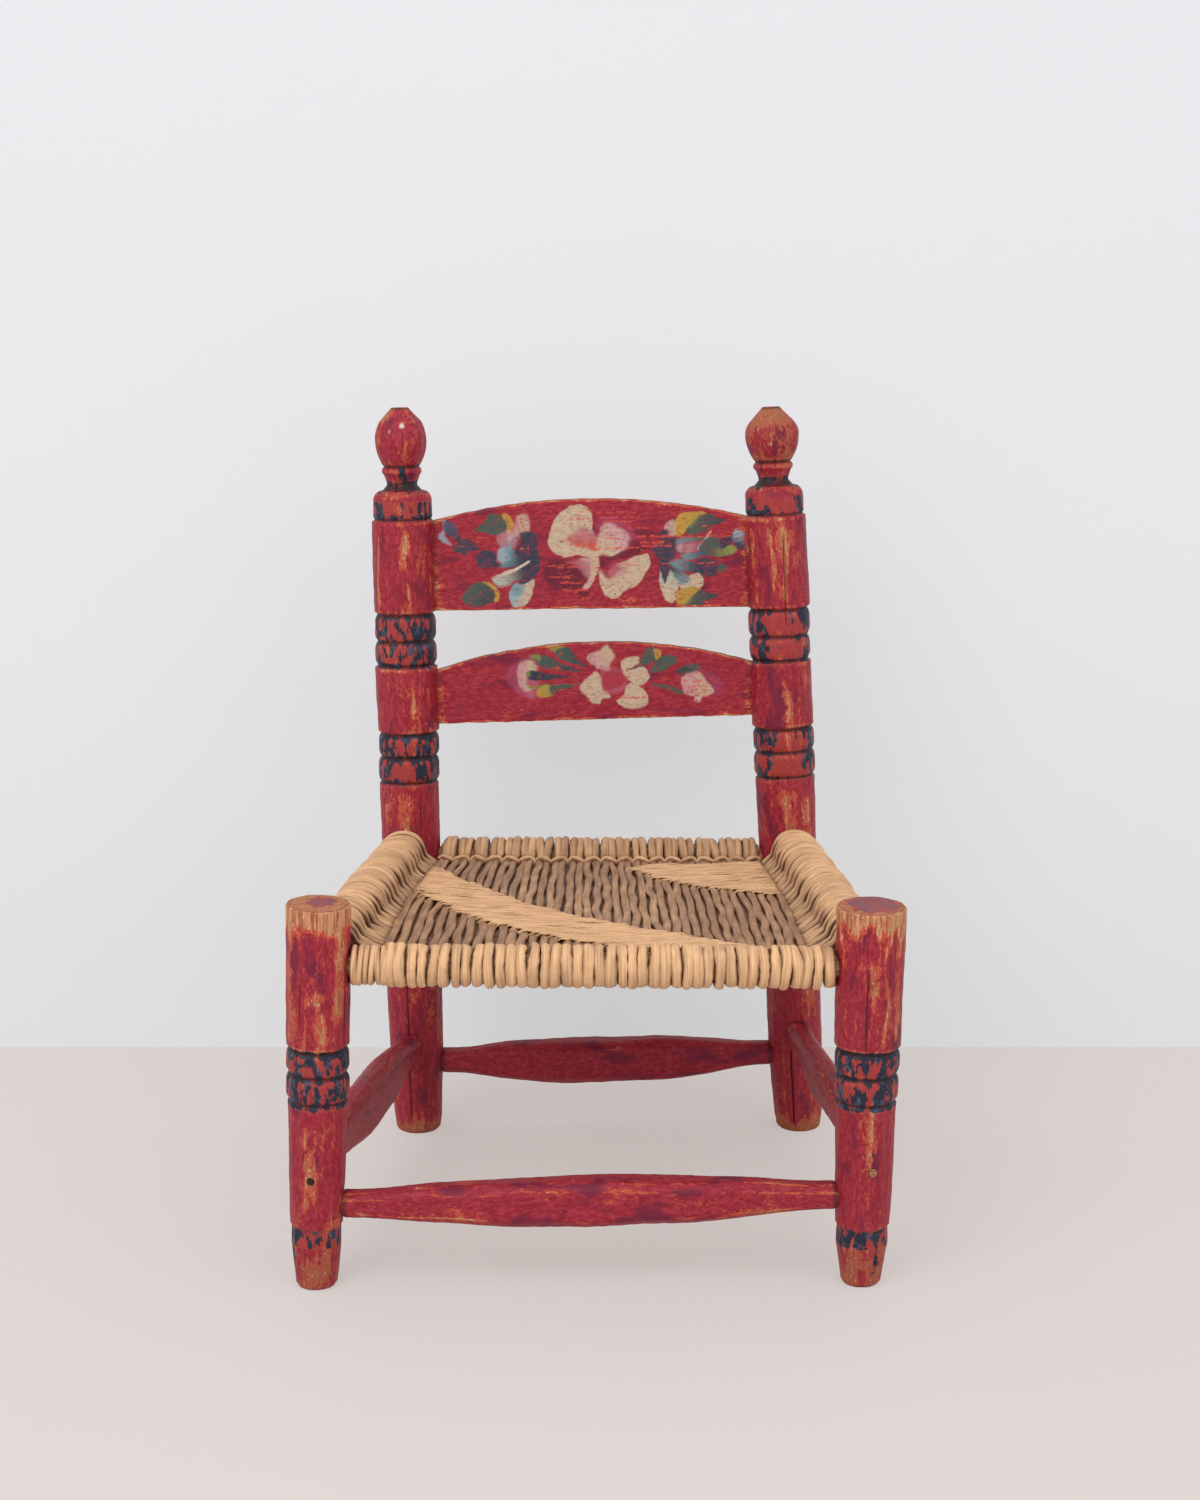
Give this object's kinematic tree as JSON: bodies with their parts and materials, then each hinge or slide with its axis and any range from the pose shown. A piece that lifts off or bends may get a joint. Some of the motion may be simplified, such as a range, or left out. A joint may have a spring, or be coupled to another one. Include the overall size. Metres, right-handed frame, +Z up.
{
  "type": "child chair",
  "caption": "Low ladder-back chair for a child, with turned posts, arched slats, hewn stretchers and a seat woven from palm strand.",
  "frame": {"origin": "on the floor, under the middle of the chair's bounding box", "axes": "+X to the right of someone who looks at the chair's front, +Y to the back, +Z up"},
  "size_m": [0.3645, 0.3341, 0.4903],
  "materials": {
    "painted_wood": "satin crimson paint, worn to the wood",
    "bare_wood": "bare, dry",
    "palm_strand": "dry twisted palm strand",
    "pale_palm": "dry flat palm strand"
  },
  "bodies": {
    "root": {"front_left_post": "painted_wood", "front_right_post": "painted_wood", "back_left_post": "painted_wood", "back_right_post": "painted_wood", "upper_slat": "painted_wood", "lower_slat": "painted_wood", "front_stretcher": "painted_wood", "back_stretcher": "painted_wood", "left_stretcher": "painted_wood", "right_stretcher": "painted_wood", "front_rail": "bare_wood", "back_rail": "bare_wood", "left_rail": "bare_wood", "right_rail": "bare_wood", "front_left_plug": "bare_wood", "front_right_plug": "bare_wood", "seat_warp": "palm_strand", "front_left_corner_wrap": "palm_strand", "front_right_corner_wrap": "palm_strand", "left_side_weft": "palm_strand", "right_side_weft": "palm_strand", "back_twining": "palm_strand", "front_weft_band": "pale_palm", "back_weft_band": "pale_palm", "under_weft_band": "pale_palm"}
  },
  "joints": []
}
